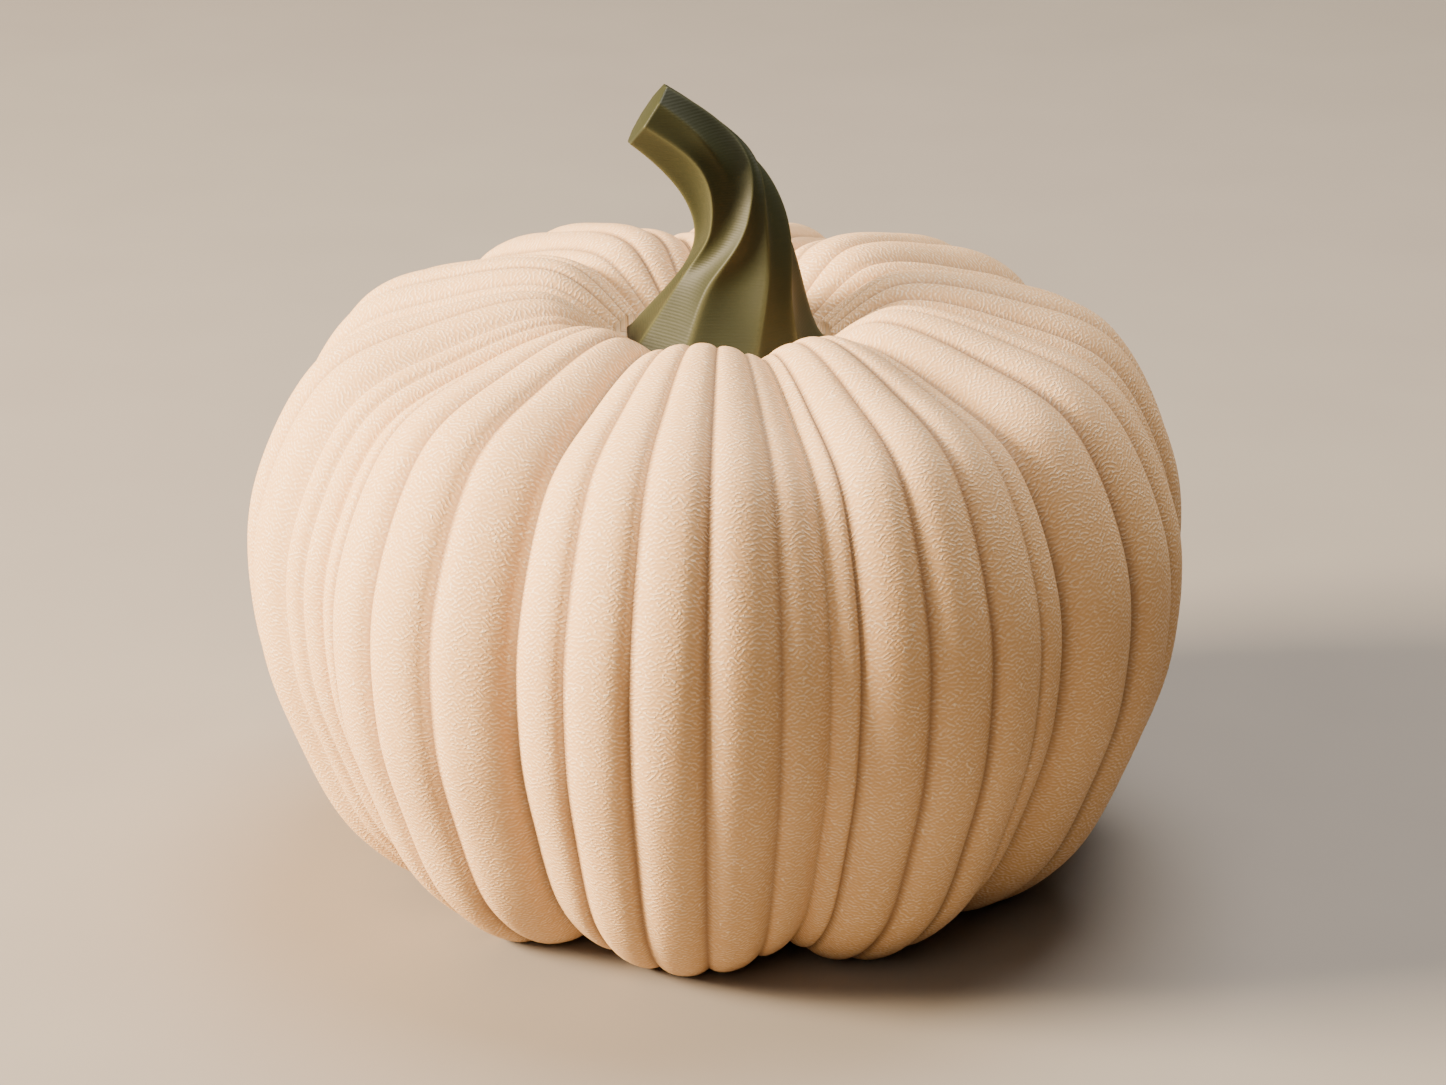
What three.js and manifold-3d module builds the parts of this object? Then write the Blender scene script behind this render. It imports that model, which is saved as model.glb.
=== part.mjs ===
// Ornamental printed pumpkin: a lobed, finely ribbed body and a twisted stem that plugs into it.
// Millimetres, +Z up. The origin is the centre of the flat underside. The stem leans towards -X.

import * as THREE from 'three';
import { mergeVertices } from 'three/addons/utils/BufferGeometryUtils.js';
import Module from 'manifold-3d';

// Body: each lobe starts at a deep groove and ends at the next one, with shallow creases between its ribs.
// Angles are in degrees from the front to the right.
const LOBES = [
  { groove: -25.3, creases: [-18.6, -10.4, -1.6, 7.2] },
  { groove: 13.3, creases: [16.8, 25, 33.3, 41.7] },
  { groove: 46.7, creases: [59, 70, 79] },
  { groove: 85.3, creases: [89.5, 97.5, 106.5, 114.5] },
  { groove: 118.7, creases: [125, 137, 151.5] },
  { groove: 157.3, creases: [161.5, 169.5, 178.5, 186.5] },
  { groove: 190.7, creases: [200, 212.4, 223.5] },
  { groove: 229.3, creases: [233.5, 241.5, 250.5, 258.5] },
  { groove: 262.7, creases: [270, 281.5, 293, 297] },
  { groove: 301.3, creases: [305.4, 314.5, 323.8] },
];
const FULL_TURN = 360;
const STEPS_PER_RIB = 4;
const MIDDLE_CREASE_SHARE = 0.17;
const CREASE_POWER = 1.9;
const RIB_RISE = 0.14;

// Body: the crown line of a lobe from under the foot to the dimple, as distance from the axis and
// height, with the depth of the groove beside the lobe
const CROWN = [
  { radius: 18, height: 0, groove: 0 },
  { radius: 34, height: 0, groove: 4.2 },
  { radius: 48.5, height: -1, groove: 5.8 },
  { radius: 61.8, height: 9.7, groove: 5.7 },
  { radius: 69.8, height: 26.6, groove: 4.8 },
  { radius: 74.8, height: 44.3, groove: 4.4 },
  { radius: 74.3, height: 65.4, groove: 4.4 },
  { radius: 63.9, height: 86.1, groove: 4.6 },
  { radius: 46.5, height: 94, groove: 4.1 },
  { radius: 28.5, height: 96.8, groove: 3.2 },
  { radius: 16.5, height: 88.6, groove: 1.2 },
];
const TOP_HEIGHT = 97;
const LOBE_HEART = new THREE.Vector2(37.5, 44.7);
const BODY_ROWS = 24;

// Seat of the stem in the dimple
const SEAT_RADIUS = 17.2;
const SEAT_HEIGHT = 87.2;
const SOCKET_RADIUS = 6;
const SOCKET_DEPTH = 12;
const ROUND_SIDES = 40;
const FIT_GAP = 0.3;

// Stem: the centre line leans to the left in the plane Y = 0
const STEM_LINE = new THREE.CubicBezierCurve3(
  new THREE.Vector3(0, 0, SEAT_HEIGHT + FIT_GAP),
  new THREE.Vector3(8, 0, 105),
  new THREE.Vector3(1.8, 0, 116),
  new THREE.Vector3(-12, 0, 125),
);
const TIP_RADIUS = 5.7;
const TAPER = 3;
const FLARE = 8.2;
const FLARE_POWER = 5;
const STEM_ROWS = 30;
const STEPS_PER_FLUTE = 4;
const FLUTE_DEPTH = 0.16;
const PEG_LENGTH = 11;

// Stem: direction of each ridge at even steps from the foot to the cut end, in degrees from the front
// to the right. The late ridge rises out of the middle of its flute towards the cut end.
const RIDGES = [
  [-60, -71, -37, -4, -7],
  [-42, -52, -10, 27, 37],
  [-25, -33, 16, 84, 80],
  [17, 23, 42, 112, 122],
  [50, 51, 92, 142, 162],
  [100, 112, 140, 178, 200],
  [145, 160, 185, 215, 234],
  [190, 206, 232, 252, 265],
  [245, 255, 275, 292, 300],
];
const LATE_RIDGE = 1;
const LATE_RISE_START = 0.55;
const LATE_RISE_END = 0.85;

// A value between evenly spaced knots, on a smooth curve through them
function smoothValue(knots, share) {
  const place = share * (knots.length - 1);
  const index = Math.min(Math.floor(place), knots.length - 2);
  const before = knots[Math.max(index - 1, 0)];
  const after = knots[Math.min(index + 2, knots.length - 1)];
  const a = knots[index];
  const b = knots[index + 1];
  const t = place - index;
  const slopeA = (b - before) / 2;
  const slopeB = (after - a) / 2;
  const rise = 2 * (a - b) + slopeA + slopeB;
  const bend = 3 * (b - a) - 2 * slopeA - slopeB;
  return a + t * (slopeA + t * (bend + t * rise));
}

// Joins rings of equal length into one closed mesh, with a fan at each end
function closedSkin(rings, startCentre, endCentre) {
  const count = rings[0].length;
  const points = rings.flat();
  const triangles = [];
  for (let row = 0; row < rings.length - 1; row += 1) {
    for (let column = 0; column < count; column += 1) {
      const next = (column + 1) % count;
      const a = row * count + column;
      const b = row * count + next;
      const c = (row + 1) * count + next;
      const d = (row + 1) * count + column;
      triangles.push(a, b, c, a, c, d);
    }
  }
  const start = points.push(startCentre) - 1;
  const end = points.push(endCentre) - 1;
  const lastRow = (rings.length - 1) * count;
  for (let column = 0; column < count; column += 1) {
    const next = (column + 1) % count;
    triangles.push(start, next, column);
    triangles.push(end, lastRow + column, lastRow + next);
  }
  const geometry = new THREE.BufferGeometry().setFromPoints(points);
  geometry.setIndex(triangles);
  return geometry;
}

// The edges of a lobe's ribs: direction, and share of the groove's depth, which grows towards the grooves
function ribEdges(index) {
  const start = LOBES[index].groove;
  const end = index + 1 < LOBES.length ? LOBES[index + 1].groove : LOBES[0].groove + FULL_TURN;
  const middle = (start + end) / 2;
  return [start, ...LOBES[index].creases, end].map((angle) => {
    const outward = Math.abs(angle - middle) / (middle - start);
    const share = MIDDLE_CREASE_SHARE + (1 - MIDDLE_CREASE_SHARE) * outward ** CREASE_POWER;
    return { angle: THREE.MathUtils.degToRad(angle), share };
  });
}

// The columns of the body's mesh: direction, share of the groove's depth, and rise of the rib over a chord
function bodyColumns() {
  const columns = [];
  LOBES.forEach((lobe, index) => {
    const edges = ribEdges(index);
    for (let rib = 0; rib < edges.length - 1; rib += 1) {
      const from = edges[rib];
      const to = edges[rib + 1];
      for (let step = 0; step < STEPS_PER_RIB; step += 1) {
        const t = step / STEPS_PER_RIB;
        columns.push({
          angle: THREE.MathUtils.lerp(from.angle, to.angle, t),
          share: THREE.MathUtils.lerp(from.share, to.share, t),
          rise: 4 * t * (1 - t) * RIB_RISE * (to.angle - from.angle),
        });
      }
    }
  });
  return columns;
}

// One ring of the body at a share of the crown line, with its grooves and ribs
function bodyRing(columns, share) {
  const crown = new THREE.Vector2(
    smoothValue(CROWN.map((knot) => knot.radius), share),
    smoothValue(CROWN.map((knot) => knot.height), share),
  );
  const inward = LOBE_HEART.clone().sub(crown).normalize();
  const groove = smoothValue(CROWN.map((knot) => knot.groove), share);
  return columns.map((column) => {
    const depth = groove * column.share - column.rise * crown.x;
    const spot = crown.clone().addScaledVector(inward, depth);
    const height = Math.max(spot.y, 0);
    return new THREE.Vector3(spot.x * Math.sin(column.angle), -spot.x * Math.cos(column.angle), height);
  });
}

function bodyGeometry() {
  const columns = bodyColumns();
  const rings = [];
  for (let row = 0; row <= BODY_ROWS; row += 1) {
    rings.push(bodyRing(columns, row / BODY_ROWS));
  }
  const dimple = new THREE.Vector3(0, 0, CROWN.at(-1).height);
  return closedSkin(rings, new THREE.Vector3(0, 0, 0), dimple);
}

// Stem section at a share of its length: ridges joined by hollow flutes
function stemRing(share) {
  const centre = STEM_LINE.getPoint(share);
  const left = 1 - share;
  const upright = new THREE.Vector3(0, 0, 1);
  const along = STEM_LINE.getTangent(share).lerp(upright, left ** FLARE_POWER).normalize();
  const front = new THREE.Vector3(0, -1, 0);
  const right = new THREE.Vector3().crossVectors(along, front);
  const radius = TIP_RADIUS + TAPER * left + FLARE * left ** FLARE_POWER;
  const hollow = FLUTE_DEPTH * Math.sin(Math.PI * share);
  const corners = RIDGES.map((knots) => {
    const angle = THREE.MathUtils.degToRad(smoothValue(knots, share));
    return new THREE.Vector2(Math.sin(angle), Math.cos(angle));
  });
  const before = corners[LATE_RIDGE - 1];
  const after = corners[LATE_RIDGE + 1];
  const floor = before.clone().lerp(after, 0.5).multiplyScalar(1 - hollow * before.distanceTo(after));
  const risen = THREE.MathUtils.smoothstep(share, LATE_RISE_START, LATE_RISE_END);
  corners[LATE_RIDGE].lerpVectors(floor, corners[LATE_RIDGE], risen);
  const ring = [];
  corners.forEach((corner, index) => {
    const next = corners[(index + 1) % corners.length];
    const besideLate = index === LATE_RIDGE - 1 || index === LATE_RIDGE;
    const depth = besideLate ? hollow * (1 + risen) / 2 : hollow;
    for (let step = 0; step < STEPS_PER_FLUTE; step += 1) {
      const t = step / STEPS_PER_FLUTE;
      const spot = corner.clone().lerp(next, t);
      spot.multiplyScalar(1 - 4 * t * (1 - t) * depth * corner.distanceTo(next));
      const offset = right.clone().multiplyScalar(spot.x).addScaledVector(front, spot.y);
      ring.push(centre.clone().addScaledVector(offset, radius));
    }
  });
  return ring;
}

function stemGeometry() {
  const rings = [];
  for (let row = 0; row <= STEM_ROWS; row += 1) {
    rings.push(stemRing(row / STEM_ROWS));
  }
  return closedSkin(rings, STEM_LINE.getPoint(0), STEM_LINE.getPoint(1));
}

// An upright round bar between two heights
function roundBar(radius, bottom, top) {
  const bar = new THREE.CylinderGeometry(radius, radius, top - bottom, ROUND_SIDES);
  bar.rotateX(Math.PI / 2);
  bar.translate(0, 0, (top + bottom) / 2);
  return bar;
}

const wasm = await Module();
wasm.setup();

function toSolid(geometry) {
  const bare = geometry.clone();
  bare.deleteAttribute('normal');
  bare.deleteAttribute('uv');
  const merged = mergeVertices(bare);
  return new wasm.Manifold(new wasm.Mesh({
    numProp: 3,
    vertProperties: new Float32Array(merged.attributes.position.array),
    triVerts: new Uint32Array(merged.index.array),
  }));
}

function toGeometry(solid) {
  const mesh = solid.getMesh();
  const geometry = new THREE.BufferGeometry();
  geometry.setAttribute('position', new THREE.BufferAttribute(mesh.vertProperties, 3));
  geometry.setIndex(new THREE.BufferAttribute(mesh.triVerts, 1));
  geometry.computeVertexNormals();
  return geometry;
}

const seatCut = toSolid(roundBar(SEAT_RADIUS, SEAT_HEIGHT, TOP_HEIGHT));
const socketCut = toSolid(roundBar(SOCKET_RADIUS, SEAT_HEIGHT - SOCKET_DEPTH, TOP_HEIGHT));
const bodySolid = toSolid(bodyGeometry()).subtract(seatCut).subtract(socketCut);

const stemBottom = SEAT_HEIGHT + FIT_GAP;
const peg = toSolid(roundBar(SOCKET_RADIUS - FIT_GAP, stemBottom - PEG_LENGTH, stemBottom + FIT_GAP));
const stemSolid = toSolid(stemGeometry()).add(peg);

const bodyPlastic = new THREE.MeshStandardMaterial({ color: '#e2c9ac', roughness: 0.75, metalness: 0 });
const stemPlastic = new THREE.MeshStandardMaterial({ color: '#56552f', roughness: 0.4, metalness: 0 });

const pumpkin = new THREE.Group();

const body = new THREE.Mesh(toGeometry(bodySolid), bodyPlastic);
body.name = 'body';
pumpkin.add(body);

const stem = new THREE.Mesh(toGeometry(stemSolid), stemPlastic);
stem.name = 'stem';
pumpkin.add(stem);

export default pumpkin;
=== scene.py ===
# Ornamental printed pumpkin: a ribbed cream body and a twisted olive stem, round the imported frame.
# Metres, +Z up, front towards -Y. Drawn sizes are in millimetres and angles run from the front to the right.
import functools
import math

import bmesh
import bpy
from mathutils import Euler, Matrix, Vector


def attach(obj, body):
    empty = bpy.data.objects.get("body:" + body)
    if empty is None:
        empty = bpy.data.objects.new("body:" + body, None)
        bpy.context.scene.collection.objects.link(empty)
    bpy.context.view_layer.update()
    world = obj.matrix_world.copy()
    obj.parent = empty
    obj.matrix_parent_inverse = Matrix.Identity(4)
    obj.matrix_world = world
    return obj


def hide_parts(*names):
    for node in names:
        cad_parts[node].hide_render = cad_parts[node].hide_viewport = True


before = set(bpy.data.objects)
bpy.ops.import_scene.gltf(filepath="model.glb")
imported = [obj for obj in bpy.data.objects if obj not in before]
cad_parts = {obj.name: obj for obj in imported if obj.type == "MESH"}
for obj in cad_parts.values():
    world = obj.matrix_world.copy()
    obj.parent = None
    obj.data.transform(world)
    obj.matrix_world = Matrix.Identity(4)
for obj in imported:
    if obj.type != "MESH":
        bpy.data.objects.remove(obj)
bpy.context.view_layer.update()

MM = 0.001
# Points closer than this, in millimetres, are one
SEAM = 0.001

# Camera: where it stands and how it is turned, as a least-squares fit to the photo gave them, rounded. The lens
# was picked among a few that were tried in that fit.
CAMERA_PLACE = (0, -0.6797, 0.3164)
CAMERA_PITCH = math.radians(21.17)
CAMERA_YAW = math.radians(0.03)
CAMERA_ROLL = math.radians(0.36)
SENSOR_WIDTH = 36
LENS = 112.03

# Body: the deep groove where each lobe starts and the shallower creases between its ribs, in degrees. The
# first creases came from the same fit. Each lobe's own were then set one by one over the photo, and those of
# the lobes behind are guessed.
LOBES = (
    (-25.3, (-18.6, -10.4, -1.6, 7.2)),
    (13.3, (16.8, 25, 33.3, 41.7)),
    (46.7, (59, 70, 79)),
    (85.3, (89.5, 97.5, 106.5, 114.5)),
    (118.7, (125, 137, 151.5)),
    (157.3, (161.5, 169.5, 178.5, 186.5)),
    (190.7, (200, 212.4, 223.5)),
    (229.3, (233.5, 241.5, 250.5, 258.5)),
    (262.7, (270, 281.5, 293, 297)),
    (301.3, (305.4, 314.5, 323.8)),
)
FULL_TURN = 360
STEPS_PER_RIB = 10

# Body: a crease's depth as a share of the groove's, from the middle of a lobe out to its grooves
MIDDLE_CREASE_SHARE = 0.17
CREASE_POWER = 1.9

# Body: how far a rib stands out in its middle and falls in at its creases, as shares of its width
RIB_RISE = 0.14
CREASE_DROP = 0.18
RIB_ROUNDNESS = 2.5

# Body: how narrow the painted shade line in a crease is, and the rib width from which it is fully dark
CREASE_SHARPNESS = 9
CREASE_FULL_WIDTH = math.radians(8)

# Body: millimetres between the ribs in the piece's own map, so that no two lie on each other
RIB_SPACING = 40

# Body: the crown line of a lobe as distance from the axis, height, and depth of the groove beside it.
# It began as the same fit's result, and most of it was then changed.
CROWN = (
    (18, 0, 0),
    (34, 0, 4.2),
    (48.5, -1, 5.8),
    (61.8, 9.7, 5.7),
    (69.8, 26.6, 4.8),
    (74.8, 44.3, 4.4),
    (74.3, 65.4, 4.4),
    (63.9, 86.1, 4.6),
    (46.5, 94, 4.1),
    (28.5, 96.8, 3.2),
    (16.5, 88.6, 1.2),
)
CROWN_END = 0.99
LOBE_HEART = Vector((37.5, 44.7))
BODY_ROWS = 190

# Seat of the stem in the dimple
SEAT_RADIUS = 17.2
SEAT_HEIGHT = 87.2
SOCKET_RADIUS = 6
SOCKET_DEPTH = 12
FIT_GAP = 0.3

# Stem: a curve that leans to the left, and its radius along it
STEM_LINE = (
    Vector((0, 0, SEAT_HEIGHT + FIT_GAP)),
    Vector((8, 0, 105)),
    Vector((1.8, 0, 116)),
    Vector((-12, 0, 125)),
)
TIP_RADIUS = 5.7
TAPER = 3
FLARE = 8.2
FLARE_POWER = 5
STEM_ROWS = 110
STEPS_PER_FLUTE = 12
FLUTE_DEPTH = 0.16
PEG_LENGTH = 11
CUT_EDGE_RADIUS = 0.35
CUT_EDGE_SEGMENTS = 3

# Stem: direction of each ridge at even steps from the foot to the cut end. The visible ones follow angles
# solved from points on the photo's ridges, rounded, and the hidden ones are guessed. The late ridge
# rises out of the middle of its flute towards the cut end.
RIDGES = (
    (-60, -71, -37, -4, -7),
    (-42, -52, -10, 27, 37),
    (-25, -33, 16, 84, 80),
    (17, 23, 42, 112, 122),
    (50, 51, 92, 142, 162),
    (100, 112, 140, 178, 200),
    (145, 160, 185, 215, 234),
    (190, 206, 232, 252, 265),
    (245, 255, 275, 292, 300),
)
LATE_RIDGE = 1
LATE_RISE_START = 0.55
LATE_RISE_END = 0.85
CREST_ROUNDS = 3

# Sockets of a colour Mix node, whose names repeat
MIX_FACTOR = 0
MIX_LOW = 6
MIX_HIGH = 7
MIX_COLOUR = 2


def make_camera():
    camera = bpy.data.objects.new("camera", bpy.data.cameras.new("camera"))
    camera.data.sensor_width = SENSOR_WIDTH
    camera.data.lens = LENS
    turn = Euler((math.pi / 2 - CAMERA_PITCH, 0, -CAMERA_YAW)).to_matrix().to_4x4()
    camera.matrix_world = Matrix.Translation(CAMERA_PLACE) @ turn @ Matrix.Rotation(CAMERA_ROLL, 4, "Z")
    bpy.context.scene.collection.objects.link(camera)
    bpy.context.scene.camera = camera


make_camera()


def smooth_value(knots, share):
    """A value between evenly spaced knots, on a smooth curve through them."""
    place = share * (len(knots) - 1)
    index = min(int(place), len(knots) - 2)
    before = knots[max(index - 1, 0)]
    after = knots[min(index + 2, len(knots) - 1)]
    a, b = knots[index], knots[index + 1]
    t = place - index
    slope_a = (b - before) / 2
    slope_b = (after - a) / 2
    rise = 2 * (a - b) + slope_a + slope_b
    bend = 3 * (b - a) - 2 * slope_a - slope_b
    return a + t * (slope_a + t * (bend + t * rise))


def grid(rows, columns):
    """A flat grid from 0 to 1 both ways, as a bmesh: X counts columns and Y rows."""
    mesh = bmesh.new()
    bmesh.ops.create_grid(mesh, x_segments=columns, y_segments=rows, size=0.5)
    bmesh.ops.translate(mesh, vec=(0.5, 0.5, 0), verts=mesh.verts)
    mesh.verts.index_update()
    mesh.faces.index_update()
    return mesh


def push_loop(mesh, loop, move):
    """Extrudes an edge loop, moves the new one with a function of its place, and returns it."""
    made = bmesh.ops.extrude_edge_only(mesh, edges=loop)["geom"]
    for part in made:
        if isinstance(part, bmesh.types.BMVert):
            part.co = move(part.co)
    return [part for part in made if isinstance(part, bmesh.types.BMEdge) and part.is_boundary]


def on_circle(radius, height):
    """A move that puts a point on a level circle round the axis, in the direction it already has."""
    def move(point):
        length = math.hypot(point.x, point.y)
        return Vector((point.x * radius / length, point.y * radius / length, height))

    return move


def finish_piece(mesh, name, material, node):
    """Turns a bmesh in millimetres into an object in metres that stands for a CAD node."""
    bmesh.ops.remove_doubles(mesh, verts=mesh.verts, dist=SEAM)
    bmesh.ops.recalc_face_normals(mesh, faces=mesh.faces)
    bmesh.ops.scale(mesh, vec=(MM, MM, MM), verts=mesh.verts)
    for face in mesh.faces:
        face.smooth = True
    data = bpy.data.meshes.new(name)
    mesh.to_mesh(data)
    mesh.free()
    data.materials.append(material)
    piece = bpy.data.objects.new(name, data)
    bpy.context.scene.collection.objects.link(piece)
    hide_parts(node)
    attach(piece, "root")
    return piece


class Signal:
    """The value of a node's socket, so that shader sums read as plain expressions."""

    def __init__(self, finish, socket):
        self.finish = finish
        self.socket = socket

    def _math(self, operation, first, second=0.0):
        values = {0: first, 1: second}
        return self.finish.signal("ShaderNodeMath", {"operation": operation}, values, "Value")

    def __add__(self, other):
        return self._math("ADD", self, other)

    __radd__ = __add__

    def __sub__(self, other):
        return self._math("SUBTRACT", self, other)

    def __rsub__(self, other):
        return self._math("SUBTRACT", other, self)

    def __mul__(self, other):
        return self._math("MULTIPLY", self, other)

    __rmul__ = __mul__

    def __pow__(self, other):
        return self._math("POWER", self, other)

    def clamped(self):
        return self._math("MINIMUM", self._math("MAXIMUM", self, 0.0), 1.0)


class Finish:
    """A plastic's material and its nodes."""

    def __init__(self, name):
        self.material = bpy.data.materials.new(name)
        self.material.use_nodes = True
        self.tree = self.material.node_tree
        self.tree.nodes.clear()

    def node(self, kind, settings, values):
        node = self.tree.nodes.new(kind)
        for key, value in settings.items():
            setattr(node, key, value)
        for key, value in values.items():
            if isinstance(value, Signal):
                self.tree.links.new(value.socket, node.inputs[key])
            else:
                node.inputs[key].default_value = value
        return node

    def signal(self, kind, settings, values, output):
        return Signal(self, self.node(kind, settings, values).outputs[output])

    def millimetres(self):
        """The place on the piece, in millimetres."""
        place = self.signal("ShaderNodeTexCoord", {}, {}, "Object")
        values = {0: place, "Scale": 1 / MM}
        return self.signal("ShaderNodeVectorMath", {"operation": "SCALE"}, values, "Vector")

    def stretched(self, place, factors):
        values = {0: place, 1: factors}
        return self.signal("ShaderNodeVectorMath", {"operation": "MULTIPLY"}, values, "Vector")

    def noise(self, place, size, detail=0.0):
        """Soft blotches of about a size, from 0 to 1."""
        values = {"Vector": place, "Scale": 1 / size, "Detail": detail}
        return self.signal("ShaderNodeTexNoise", {}, values, "Fac")

    def wave(self, place, pitch):
        """Level waves up the part, each pitch apart."""
        height = self.signal("ShaderNodeSeparateXYZ", {}, {"Vector": place}, "Z")
        phase = height * (2 * math.pi / pitch)
        return self.signal("ShaderNodeMath", {"operation": "SINE"}, {0: phase}, "Value")

    def unrolled(self, name):
        """Millimetres along the surface, from the piece's own map."""
        return self.signal("ShaderNodeUVMap", {"uv_map": name}, {}, "UV")

    def maze(self, place, pitch, evenness):
        """Short winding strokes, each pitch apart, from 0 between them to 1 on their crests."""
        settings = {"gabor_type": "2D"}
        values = {
            "Vector": place,
            "Scale": 1 / (MAZE_TURNS * pitch),
            "Frequency": MAZE_TURNS,
            "Anisotropy": evenness,
            "Orientation": math.pi / 2,
        }
        return self.signal("ShaderNodeTexGabor", settings, values, "Value")

    def attribute(self, name):
        return self.signal("ShaderNodeAttribute", {"attribute_name": name}, {}, "Fac")

    def blend(self, amount, low, high):
        """A colour between two, low where the amount is 0 and high where it is 1."""
        values = {MIX_FACTOR: amount, MIX_LOW: low, MIX_HIGH: high}
        return self.signal("ShaderNodeMix", {"data_type": "RGBA"}, values, MIX_COLOUR)

    def plastic(self, height, values):
        """The finished material, with a relief in millimetres and the shader's other values."""
        relief = {"Strength": 1.0, "Distance": MM, "Height": height}
        bump = self.signal("ShaderNodeBump", {}, relief, "Normal")
        shader = self.node("ShaderNodeBsdfPrincipled", {}, {**values, "Normal": bump})
        output = self.node("ShaderNodeOutputMaterial", {}, {})
        self.tree.links.new(shader.outputs["BSDF"], output.inputs["Surface"])
        return self.material


# Body plastic: colours in linear light
CREAM = (0.72, 0.435, 0.195, 1)
CREAM_WARM = (0.66, 0.375, 0.165, 1)
# Painted shade: the creases are blended towards this darker colour to stand for the shade that falls in them
CREASE_SHADE_COLOUR = (0.22, 0.10, 0.04, 1)
CREAM_STROKE = (0.98, 0.79, 0.55, 1)
CREAM_CLOUD_SIZE = 26
CREASE_SHADE_STRENGTH = 0.75
CREAM_ROUGHNESS = 0.72
CREAM_SPECULAR = 0.3

# Body plastic: the fuzzy surface, with sizes and heights in millimetres. A mask is a pattern times its
# contrast, less its cut, held between 0 and 1.
STROKE_PITCH = 0.7
STROKE_EVENNESS = 0.42
MAZE_TURNS = 1.6
STROKE_CONTRAST = 5
STROKE_CUT = 2.3
STROKE_BREAK = 1.7
BREAK_CONTRAST = 5
BREAK_CUT = 1.7
FAINT_STROKE = 0.55
STROKE_HEIGHT = 0.06
STROKE_PALENESS = 0.62
STROKE_GLOSS = 0.12
SPECK_SIZE = 0.62
SPECK_CONTRAST = 9
SPECK_CUT = 6.5
SPECK_HEIGHT = 0.04
SPECK_PALENESS = 0.6
GRAIN_SIZE = 0.3
GRAIN_HEIGHT = 0.01


def fuzzy_cream():
    finish = Finish("fuzzy cream plastic")
    place = finish.millimetres()
    maze = finish.maze(finish.unrolled("rib_map"), STROKE_PITCH, STROKE_EVENNESS)
    lines = (maze * STROKE_CONTRAST - STROKE_CUT).clamped()
    broken = (finish.noise(place, STROKE_BREAK) * BREAK_CONTRAST - BREAK_CUT).clamped()
    strokes = lines * (FAINT_STROKE + (1 - FAINT_STROKE) * broken)
    specks = (finish.noise(place, SPECK_SIZE) * SPECK_CONTRAST - SPECK_CUT).clamped()
    grain = finish.noise(place, GRAIN_SIZE)
    height = strokes * STROKE_HEIGHT + specks * SPECK_HEIGHT + grain * GRAIN_HEIGHT
    clouds = finish.noise(place, CREAM_CLOUD_SIZE, detail=2.0)
    pale = (strokes * STROKE_PALENESS + specks * SPECK_PALENESS).clamped()
    colour = finish.blend(clouds, CREAM, CREAM_WARM)
    colour = finish.blend(pale, colour, CREAM_STROKE)
    # Painted shade in the creases, from the crease attribute
    colour = finish.blend(finish.attribute("crease") * CREASE_SHADE_STRENGTH, colour, CREASE_SHADE_COLOUR)
    return finish.plastic(height, {
        "Base Color": colour,
        "Roughness": CREAM_ROUGHNESS - strokes * STROKE_GLOSS,
        "Specular IOR Level": CREAM_SPECULAR,
    })


# Stem plastic: colours in linear light, sizes and heights in millimetres
OLIVE = (0.031, 0.034, 0.0115, 1)
OLIVE_DARK = (0.022, 0.024, 0.0085, 1)
# Painted highlight: the ridges are blended towards this paler colour to stand for light catching them and
# glowing through their edges
OLIVE_RIDGE_HIGHLIGHT = (0.11, 0.108, 0.045, 1)
OLIVE_CLOUD_SIZE = 9
OLIVE_ROUGHNESS = 0.5
OLIVE_ROUGHNESS_RANGE = 0.1
OLIVE_SPECULAR = 0.25
RIDGE_HIGHLIGHT_NARROWNESS = 7.0
RIDGE_HIGHLIGHT_STRENGTH = 0.5
STEM_LAYER_PITCH = 0.42
STEM_LAYER_HEIGHT = 0.005
BAND_STRETCH = (0.05, 0.05, 1.6)
BAND_SIZE = 1
BAND_HEIGHT = 0.02
STEM_GRAIN_SIZE = 0.6
STEM_GRAIN_HEIGHT = 0.012


def layered_olive():
    finish = Finish("layered olive plastic")
    place = finish.millimetres()
    clouds = finish.noise(place, OLIVE_CLOUD_SIZE, detail=2.0)
    bands = finish.noise(finish.stretched(place, BAND_STRETCH), BAND_SIZE, detail=1.0)
    layers = finish.wave(place, STEM_LAYER_PITCH)
    grain = finish.noise(place, STEM_GRAIN_SIZE)
    height = layers * STEM_LAYER_HEIGHT + grain * STEM_GRAIN_HEIGHT + bands * BAND_HEIGHT
    # Painted highlight along the ridges, from the ridge attribute
    edge = (finish.attribute("ridge") ** RIDGE_HIGHLIGHT_NARROWNESS) * RIDGE_HIGHLIGHT_STRENGTH
    colour = finish.blend(clouds, OLIVE, OLIVE_DARK)
    colour = finish.blend(edge, colour, OLIVE_RIDGE_HIGHLIGHT)
    return finish.plastic(height, {
        "Base Color": colour,
        "Roughness": OLIVE_ROUGHNESS + clouds * OLIVE_ROUGHNESS_RANGE,
        "Specular IOR Level": OLIVE_SPECULAR,
    })


def rib_edges(index):
    """The edges of a lobe's ribs: direction, and depth as a share of the groove's, 1 at the grooves."""
    start, creases = LOBES[index]
    end = LOBES[index + 1][0] if index + 1 < len(LOBES) else LOBES[0][0] + FULL_TURN
    middle = (start + end) / 2
    edges = []
    for angle in (start, *creases, end):
        outward = abs(angle - middle) / (middle - start)
        share = MIDDLE_CREASE_SHARE + (1 - MIDDLE_CREASE_SHARE) * outward**CREASE_POWER
        edges.append((math.radians(angle), share))
    return edges


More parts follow.
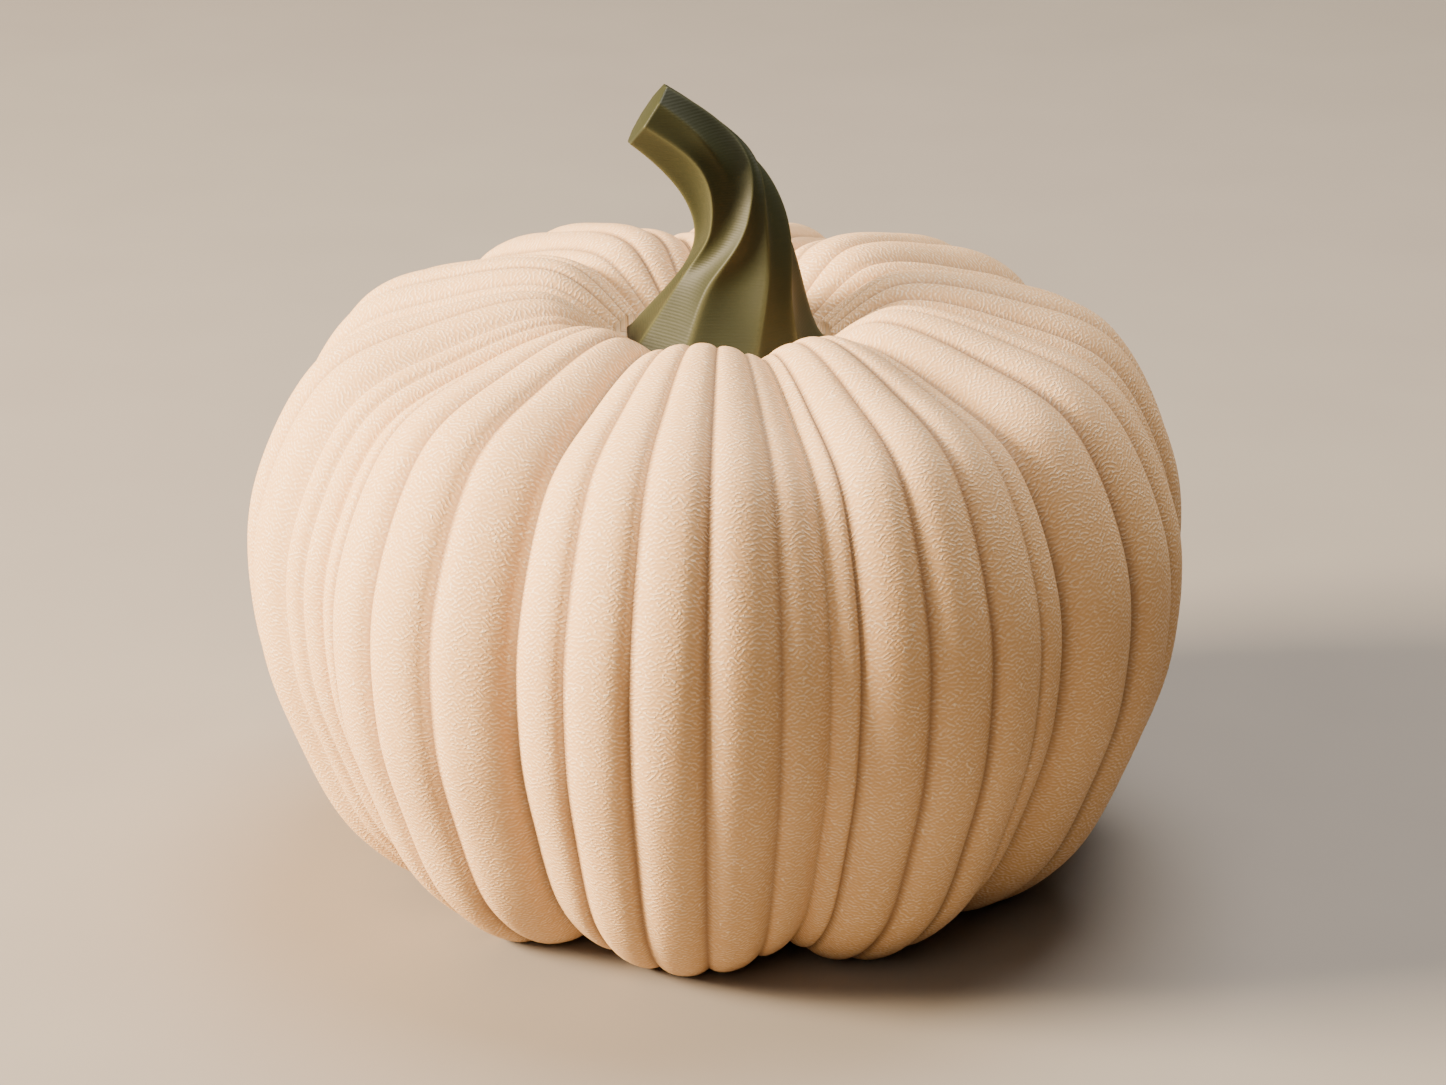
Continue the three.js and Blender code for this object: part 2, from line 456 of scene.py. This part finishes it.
def body_columns():
    """Each column's direction, depth as a share of the groove's, rise of the rib, and painted crease shade."""
    columns = []
    for index in range(len(LOBES)):
        edges = rib_edges(index)
        for (angle, share), (next_angle, next_share) in zip(edges, edges[1:]):
            width = next_angle - angle
            depth = min(width / CREASE_FULL_WIDTH, 1)
            for step in range(STEPS_PER_RIB):
                t = step / STEPS_PER_RIB
                side = abs(2 * t - 1)
                rise = (RIB_RISE - CREASE_DROP * side**RIB_ROUNDNESS) * width
                dark = depth * side**CREASE_SHARPNESS
                columns.append((angle + width * t, share + (next_share - share) * t, rise, dark))
    return columns


@functools.cache
def crown_row(share):
    """The crown line's point at a share of its length, the way to the lobe's heart, and the groove depth."""
    radius, height, groove = (smooth_value(knots, share) for knots in zip(*CROWN))
    crown = Vector((radius, height))
    return crown, (LOBE_HEART - crown).normalized(), groove


def unroll_ribs(mesh, columns):
    """Lays each rib flat in the piece's own map, in millimetres across the rib and along the crown line."""
    layer = mesh.loops.layers.uv.new("rib_map")
    spots = [crown_row(row / BODY_ROWS * CROWN_END)[0] for row in range(BODY_ROWS + 1)]
    lengths = [0]
    for spot, next_spot in zip(spots, spots[1:]):
        lengths.append(lengths[-1] + (next_spot - spot).length)
    stride = len(columns)
    for face in mesh.faces:
        column = face.index % stride
        rib, first = divmod(column, STEPS_PER_RIB)
        width = columns[rib * STEPS_PER_RIB + 1][0] - columns[rib * STEPS_PER_RIB][0]
        for loop in face.loops:
            ahead = 1 if loop.vert.index % (stride + 1) > column else 0
            row = loop.vert.index // (stride + 1)
            across = (first + ahead - STEPS_PER_RIB / 2) * width * spots[row].x
            loop[layer].uv = (across + rib * RIB_SPACING, lengths[row])


def make_body():
    columns = body_columns()
    mesh = grid(BODY_ROWS, len(columns))
    # Painted shade: each vertex's share of the darker crease colour
    crease = mesh.verts.layers.float.new("crease")
    for vert in mesh.verts:
        angle, groove_share, rise, dark = columns[round(vert.co.x * len(columns)) % len(columns)]
        crown, inward, groove = crown_row(round(vert.co.y * BODY_ROWS) / BODY_ROWS * CROWN_END)
        spot = crown + inward * (groove * groove_share - rise * crown.x)
        radius = max(spot.x, SEAT_RADIUS) if spot.y > SEAT_HEIGHT else spot.x
        vert.co = (radius * math.sin(angle), -radius * math.cos(angle), max(spot.y, 0))
        vert[crease] = dark
    unroll_ribs(mesh, columns)
    bmesh.ops.remove_doubles(mesh, verts=mesh.verts, dist=SEAM)
    rims = [edge for edge in mesh.edges if edge.is_boundary]
    foot = [edge for edge in rims if edge.verts[0].co.z < SEAT_HEIGHT / 2]
    seat = [edge for edge in rims if edge.verts[0].co.z > SEAT_HEIGHT / 2]
    bmesh.ops.contextual_create(mesh, geom=foot)
    seat = push_loop(mesh, seat, on_circle(SEAT_RADIUS, SEAT_HEIGHT))
    seat = push_loop(mesh, seat, on_circle(SOCKET_RADIUS, SEAT_HEIGHT))
    seat = push_loop(mesh, seat, on_circle(SOCKET_RADIUS, SEAT_HEIGHT - SOCKET_DEPTH))
    bmesh.ops.contextual_create(mesh, geom=seat)
    return finish_piece(mesh, "ribbed_body", fuzzy_cream(), "body")


def curve_point(share):
    """The stem's centre at a share of its length."""
    left = 1 - share
    a, b, c, d = STEM_LINE
    return a * left**3 + b * 3 * left**2 * share + c * 3 * left * share**2 + d * share**3


def curve_tangent(share):
    """The direction of the stem's centre line at a share of its length."""
    left = 1 - share
    a, b, c, d = STEM_LINE
    return ((b - a) * left**2 + (c - b) * 2 * left * share + (d - c) * share**2).normalized()


def ridge_corners(share):
    """The ridges' places on a section of radius 1, the flutes' depths, and how far each ridge has risen."""
    hollow = FLUTE_DEPTH * math.sin(math.pi * share)
    corners = []
    for knots in RIDGES:
        angle = math.radians(smooth_value(knots, share))
        corners.append(Vector((math.sin(angle), math.cos(angle))))
    before, after = corners[LATE_RIDGE - 1], corners[LATE_RIDGE + 1]
    floor = before.lerp(after, 0.5) * (1 - hollow * (after - before).length)
    t = min(max((share - LATE_RISE_START) / (LATE_RISE_END - LATE_RISE_START), 0), 1)
    risen = t * t * (3 - 2 * t)
    corners[LATE_RIDGE] = floor.lerp(corners[LATE_RIDGE], risen)
    depths = [hollow] * len(RIDGES)
    depths[LATE_RIDGE - 1] = depths[LATE_RIDGE] = hollow * (1 + risen) / 2
    crests = [1] * len(RIDGES)
    crests[LATE_RIDGE] = risen
    return corners, depths, crests


@functools.cache
def stem_ring(share):
    """The points round the stem at a share of its length, each with its closeness to a ridge, up to 1, which
    sets the painted ridge highlight.
    """
    left = 1 - share
    along = curve_tangent(share).lerp(Vector((0, 0, 1)), left**FLARE_POWER).normalized()
    front = Vector((0, -1, 0))
    right = along.cross(front)
    centre = curve_point(share)
    radius = TIP_RADIUS + TAPER * left + FLARE * left**FLARE_POWER
    corners, depths, crests = ridge_corners(share)
    ring = []
    for index, corner in enumerate(corners):
        after = (index + 1) % len(corners)
        chord = corners[after] - corner
        for step in range(STEPS_PER_FLUTE):
            t = step / STEPS_PER_FLUTE
            spot = (corner + chord * t) * (1 - 4 * t * (1 - t) * depths[index] * chord.length)
            crest = crests[index] if t < 0.5 else crests[after]
            ring.append((centre + (right * spot.x + front * spot.y) * radius, abs(2 * t - 1) * crest))
    return ring


def make_stem():
    columns = len(RIDGES) * STEPS_PER_FLUTE
    mesh = grid(STEM_ROWS, columns)
    ridge = mesh.verts.layers.float.new("ridge")
    for vert in mesh.verts:
        ring = stem_ring(round(vert.co.y * STEM_ROWS) / STEM_ROWS)
        vert.co, vert[ridge] = ring[round(vert.co.x * columns) % columns]
    bmesh.ops.remove_doubles(mesh, verts=mesh.verts, dist=SEAM)
    inner = [vert for vert in mesh.verts if not vert.is_boundary]
    axes = {"use_axis_x": True, "use_axis_y": True, "use_axis_z": True}
    for _ in range(CREST_ROUNDS):
        bmesh.ops.smooth_vert(mesh, verts=inner, factor=0.5, **axes)
    rims = [edge for edge in mesh.edges if edge.is_boundary]
    foot_height = SEAT_HEIGHT + FIT_GAP
    middle_height = curve_point(0.5).z
    foot = [edge for edge in rims if edge.verts[0].co.z < middle_height]
    tip = [edge for edge in rims if edge.verts[0].co.z > middle_height]
    cut_end = bmesh.ops.contextual_create(mesh, geom=tip)["faces"]
    foot = push_loop(mesh, foot, on_circle(SOCKET_RADIUS - FIT_GAP, foot_height))
    foot = push_loop(mesh, foot, on_circle(SOCKET_RADIUS - FIT_GAP, foot_height - PEG_LENGTH))
    bmesh.ops.contextual_create(mesh, geom=foot)
    bmesh.ops.bevel(
        mesh,
        geom=[edge for face in cut_end for edge in face.edges],
        offset=CUT_EDGE_RADIUS,
        segments=CUT_EDGE_SEGMENTS,
        affect="EDGES",
        profile=0.5,
        material=-1,
        clamp_overlap=True,
    )
    return finish_piece(mesh, "twisted_stem", layered_olive(), "stem")


# Floor: half its side in metres, colours in linear light, sizes and heights in millimetres
FLOOR_REACH = 4
FLOOR_DARK = (0.24, 0.215, 0.19, 1)
FLOOR_PALE = (0.265, 0.24, 0.21, 1)
FLOOR_CLOUD_SIZE = 40
FLOOR_CLOUD_HEIGHT = 0.01
FLOOR_ROUGHNESS = 0.7


def make_floor():
    mesh = bmesh.new()
    bmesh.ops.create_grid(mesh, x_segments=1, y_segments=1, size=FLOOR_REACH)
    data = bpy.data.meshes.new("floor")
    mesh.to_mesh(data)
    mesh.free()
    finish = Finish("pale floor")
    clouds = finish.noise(finish.millimetres(), FLOOR_CLOUD_SIZE, detail=2.0)
    data.materials.append(finish.plastic(clouds * FLOOR_CLOUD_HEIGHT, {
        "Base Color": finish.blend(clouds, FLOOR_DARK, FLOOR_PALE),
        "Roughness": FLOOR_ROUGHNESS,
    }))
    floor = bpy.data.objects.new("floor", data)
    bpy.context.scene.collection.objects.link(floor)


# Lights: name, place and side in metres, power in watts, and colour. All look at the middle of the body.
LIGHT_TARGET = Vector((0, 0, 0.05))
LIGHTS = (
    ("key", (-1.15, -0.21, 0.57), 0.4, 107, (1.0, 0.80, 0.56)),
    ("top", (0.15, 0.30, 1.1), 0.7, 21, (1.0, 0.95, 0.90)),
    ("front", (-0.35, -0.95, 0.85), 0.8, 4.0, (1.0, 0.85, 0.70)),
)
ROOM_COLOUR = (0.85, 0.92, 1.0, 1)
ROOM_STRENGTH = 0.02


def make_light(name, place, side, power, colour):
    data = bpy.data.lights.new(name, "AREA")
    data.shape = "SQUARE"
    data.size = side
    data.energy = power
    data.color = colour
    light = bpy.data.objects.new(name, data)
    turn = (LIGHT_TARGET - Vector(place)).to_track_quat("-Z", "Y").to_matrix().to_4x4()
    light.matrix_world = Matrix.Translation(place) @ turn
    bpy.context.scene.collection.objects.link(light)


def make_room():
    world = bpy.data.worlds.new("soft room")
    world.use_nodes = True
    background = world.node_tree.nodes["Background"]
    background.inputs["Color"].default_value = ROOM_COLOUR
    background.inputs["Strength"].default_value = ROOM_STRENGTH
    bpy.context.scene.world = world


make_body()
make_stem()
make_floor()
for light in LIGHTS:
    make_light(*light)
make_room()
